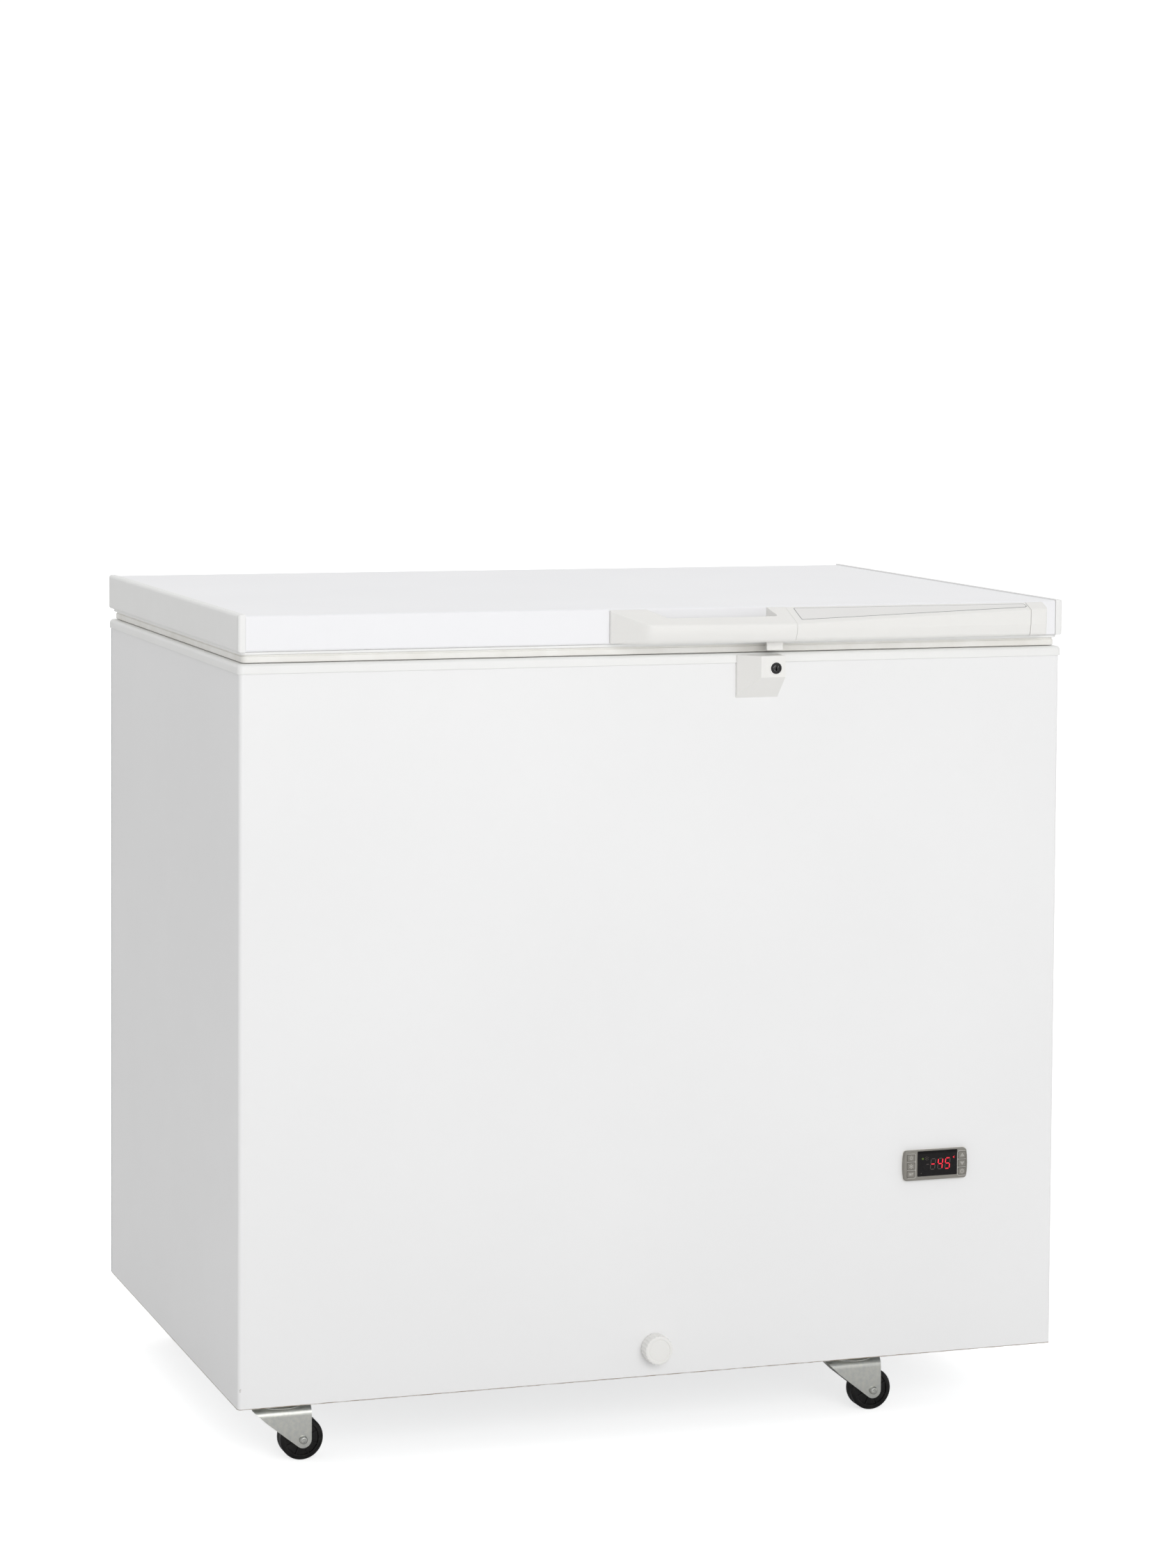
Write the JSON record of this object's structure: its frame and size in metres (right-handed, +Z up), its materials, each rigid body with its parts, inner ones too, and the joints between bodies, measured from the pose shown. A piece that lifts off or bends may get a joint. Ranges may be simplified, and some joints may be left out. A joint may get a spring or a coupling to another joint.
{
  "type": "chest freezer",
  "caption": "White low-temperature chest freezer with a hinged insulated lid, front handle, key lock, digital controller and swivel casters.",
  "frame": {"origin": "on the floor, under the middle of the whole freezer's box, casters and handle included", "axes": "+Z up, the handle, lock and controller face -Y, +X to the right as someone facing the front sees it"},
  "size_m": [0.904, 0.6704, 0.875],
  "materials": {
    "white_painted_steel": "satin",
    "galvanised_steel": "satin",
    "tank_enamel": "satin",
    "rigid_foam": "matte",
    "white_plastic": "satin",
    "handle_plastic": "satin",
    "gasket_vinyl": "matte",
    "zinc_plated_steel": "satin",
    "spring_steel": "satin",
    "black_plastic": "matte",
    "caster_plastic": "satin",
    "bezel_plastic": "matte",
    "key_plastic": "matte",
    "display_filter": "gloss",
    "chrome_plate": "polished",
    "aluminium_fins": "satin",
    "copper_tube": "satin",
    "black_enamel": "satin"
  },
  "bodies": {
    "cabinet": {"cabinet_shell": "white_painted_steel", "rear_panel": "galvanised_steel", "base_pan": "galvanised_steel", "inner_liner": "tank_enamel", "insulation_foam": "rigid_foam", "rim_frame": "white_plastic", "side_grille": "white_plastic", "cord_gland": "black_plastic", "drain_pipe": "white_plastic", "compressor": "black_enamel", "condenser": "aluminium_fins", "suction_line": "copper_tube", "liquid_line": "copper_tube", "fan_frame": "black_plastic", "controller_bezel": "bezel_plastic", "controller_body": "black_plastic", "display_window": "display_filter", "lock_housing": "handle_plastic", "hinge_base_left": "zinc_plated_steel", "hinge_base_right": "zinc_plated_steel", "hinge_pin_left": "spring_steel", "hinge_pin_right": "spring_steel", "hinge_spring_left": "spring_steel", "hinge_spring_right": "spring_steel", "caster_plate_front_left": "zinc_plated_steel", "caster_plate_front_right": "zinc_plated_steel", "caster_plate_rear_left": "zinc_plated_steel", "caster_plate_rear_right": "zinc_plated_steel"},
    "lid": {"lid_skin": "white_painted_steel", "lid_foam": "rigid_foam", "lid_pan": "white_plastic", "lid_gasket": "gasket_vinyl", "lid_end_cap_left": "white_plastic", "lid_end_cap_right": "white_plastic", "handle_grip": "handle_plastic", "handle_cover": "handle_plastic", "striker_tab": "handle_plastic", "hinge_leaf_left": "zinc_plated_steel", "hinge_leaf_right": "zinc_plated_steel"},
    "lock_cam": {"lock_barrel": "chrome_plate"},
    "fan": {"fan_rotor": "black_plastic"},
    "drain_cap": {"drain_cap": "handle_plastic"},
    "key_light": {"key_light": "key_plastic"},
    "key_defrost": {"key_defrost": "key_plastic"},
    "key_set": {"key_set": "key_plastic"},
    "key_up": {"key_up": "key_plastic"},
    "key_down": {"key_down": "key_plastic"},
    "key_power": {"key_power": "key_plastic"},
    "swivel_front_left": {"caster_fork_front_left": "zinc_plated_steel", "caster_axle_front_left": "zinc_plated_steel"},
    "wheel_front_left": {"caster_wheel_front_left": "caster_plastic"},
    "swivel_front_right": {"caster_fork_front_right": "zinc_plated_steel", "caster_axle_front_right": "zinc_plated_steel"},
    "wheel_front_right": {"caster_wheel_front_right": "caster_plastic"},
    "swivel_rear_left": {"caster_fork_rear_left": "zinc_plated_steel", "caster_axle_rear_left": "zinc_plated_steel"},
    "wheel_rear_left": {"caster_wheel_rear_left": "caster_plastic"},
    "swivel_rear_right": {"caster_fork_rear_right": "zinc_plated_steel", "caster_axle_rear_right": "zinc_plated_steel"},
    "wheel_rear_right": {"caster_wheel_rear_right": "caster_plastic"}
  },
  "joints": [
    {"name": "lid_hinge", "type": "hinge", "parent": "cabinet", "child": "lid", "pos_m": [0, 0.32615, 0.829], "axis": [-1, 0, 0], "range_deg": [0, 85]},
    {"name": "lock_turn", "type": "hinge", "parent": "cabinet", "child": "lock_cam", "pos_m": [0.116, -0.31985, 0.8105], "axis": [0, 1, 0], "range_deg": [0, 90]},
    {"name": "fan_spin", "type": "hinge", "parent": "cabinet", "child": "fan", "pos_m": [0.363, -0.12185, 0.175], "axis": [1, 0, 0], "continuous": true},
    {"name": "drain_cap_pull", "type": "slide", "parent": "cabinet", "child": "drain_cap", "axis": [0, -1, 0], "range_m": [0, 0.014]},
    {"name": "key_light_press", "type": "slide", "parent": "cabinet", "child": "key_light", "axis": [0, 1, 0], "range_m": [0, 0.0008], "stiffness_N_per_m": 600},
    {"name": "key_defrost_press", "type": "slide", "parent": "cabinet", "child": "key_defrost", "axis": [0, 1, 0], "range_m": [0, 0.0008], "stiffness_N_per_m": 600},
    {"name": "key_set_press", "type": "slide", "parent": "cabinet", "child": "key_set", "axis": [0, 1, 0], "range_m": [0, 0.0008], "stiffness_N_per_m": 600},
    {"name": "key_up_press", "type": "slide", "parent": "cabinet", "child": "key_up", "axis": [0, 1, 0], "range_m": [0, 0.0008], "stiffness_N_per_m": 600},
    {"name": "key_down_press", "type": "slide", "parent": "cabinet", "child": "key_down", "axis": [0, 1, 0], "range_m": [0, 0.0008], "stiffness_N_per_m": 600},
    {"name": "key_power_press", "type": "slide", "parent": "cabinet", "child": "key_power", "axis": [0, 1, 0], "range_m": [0, 0.0008], "stiffness_N_per_m": 600},
    {"name": "swivel_front_left_turn", "type": "hinge", "parent": "cabinet", "child": "swivel_front_left", "pos_m": [-0.393, -0.24185, 0.055], "axis": [0, 0, 1], "continuous": true},
    {"name": "wheel_front_left_roll", "type": "hinge", "parent": "swivel_front_left", "child": "wheel_front_left", "pos_m": [-0.371, -0.24185, 0.0225], "axis": [0, 1, 0], "continuous": true},
    {"name": "swivel_front_right_turn", "type": "hinge", "parent": "cabinet", "child": "swivel_front_right", "pos_m": [0.239, -0.24185, 0.055], "axis": [0, 0, 1], "continuous": true},
    {"name": "wheel_front_right_roll", "type": "hinge", "parent": "swivel_front_right", "child": "wheel_front_right", "pos_m": [0.261, -0.24185, 0.0225], "axis": [0, 1, 0], "continuous": true},
    {"name": "swivel_rear_left_turn", "type": "hinge", "parent": "cabinet", "child": "swivel_rear_left", "pos_m": [-0.393, 0.25815, 0.055], "axis": [0, 0, 1], "continuous": true},
    {"name": "wheel_rear_left_roll", "type": "hinge", "parent": "swivel_rear_left", "child": "wheel_rear_left", "pos_m": [-0.371, 0.25815, 0.0225], "axis": [0, 1, 0], "continuous": true},
    {"name": "swivel_rear_right_turn", "type": "hinge", "parent": "cabinet", "child": "swivel_rear_right", "pos_m": [0.239, 0.25815, 0.055], "axis": [0, 0, 1], "continuous": true},
    {"name": "wheel_rear_right_roll", "type": "hinge", "parent": "swivel_rear_right", "child": "wheel_rear_right", "pos_m": [0.261, 0.25815, 0.0225], "axis": [0, 1, 0], "continuous": true}
  ]
}
